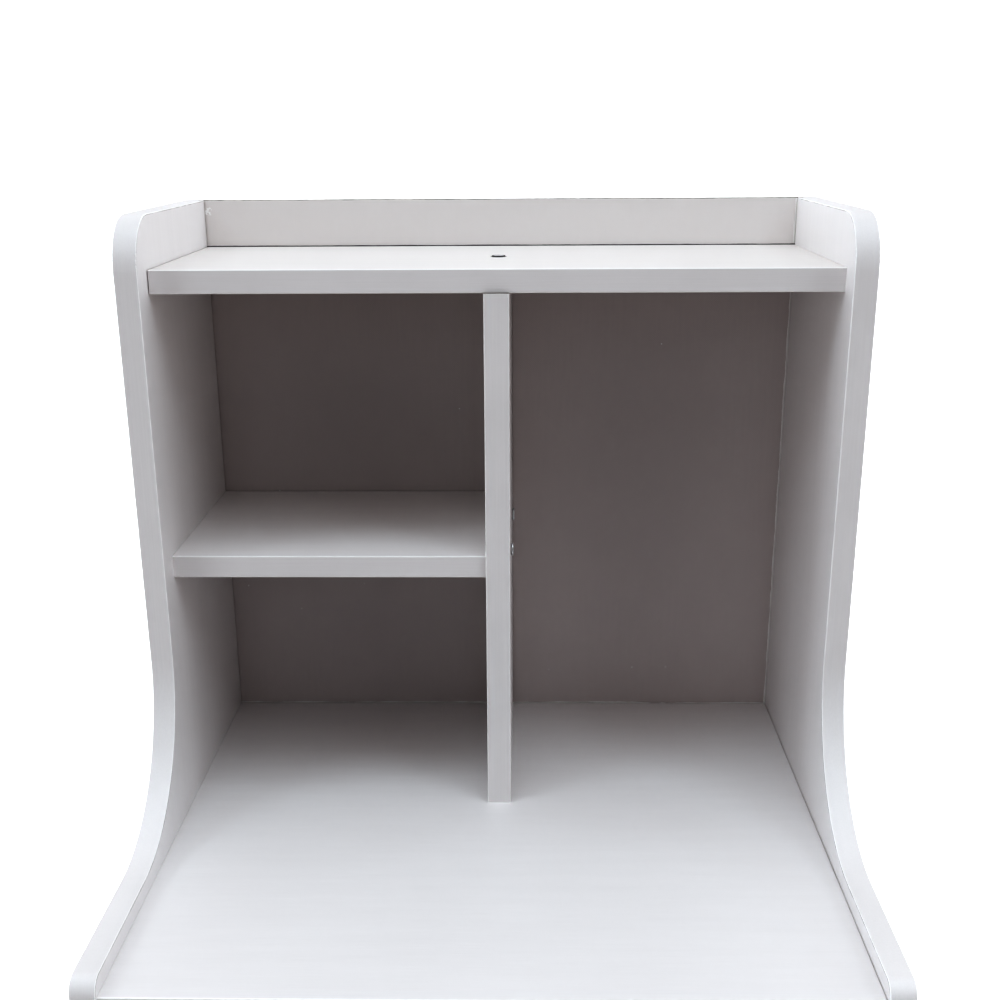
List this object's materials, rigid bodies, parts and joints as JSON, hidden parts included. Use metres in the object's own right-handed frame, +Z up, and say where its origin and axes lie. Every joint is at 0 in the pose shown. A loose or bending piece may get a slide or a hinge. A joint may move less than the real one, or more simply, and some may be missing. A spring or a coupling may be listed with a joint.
{
  "type": "desk hutch",
  "caption": "White open desk hutch: swept side panels, deep base board, raised-rim top shelf, a central divider, a small half-width shelf and a thin full-height back.",
  "frame": {"origin": "centre of the footprint, on the surface that the hutch stands on", "axes": "+Z up, the open front faces -Y, +X to the right of someone who looks at the open front"},
  "size_m": [0.5, 0.44, 0.45],
  "materials": {
    "coated_board": "satin white melamine on particle board",
    "edge_band": "satin white edge banding with rounded edges",
    "hardboard_back": "white lacquered face, raw brown rear",
    "zinc_screw": "bright zinc plate",
    "beech_dowel": "raw beech",
    "nail_steel": "plain steel wire"
  },
  "bodies": {
    "root": {"left_side_panel": "coated_board", "right_side_panel": "coated_board", "base_board": "coated_board", "top_shelf": "coated_board", "mid_shelf": "coated_board", "divider": "coated_board", "left_side_edge_band": "edge_band", "right_side_edge_band": "edge_band", "base_board_edge_band": "edge_band", "top_shelf_edge_band": "edge_band", "mid_shelf_edge_band": "edge_band", "divider_edge_band": "edge_band", "back_panel": "hardboard_back", "left_side_screws": "zinc_screw", "right_side_screws": "zinc_screw", "mid_shelf_screws": "zinc_screw", "divider_top_screw": "zinc_screw", "divider_foot_screws": "zinc_screw", "divider_dowels": "beech_dowel", "back_panel_nails": "nail_steel"}
  },
  "joints": []
}
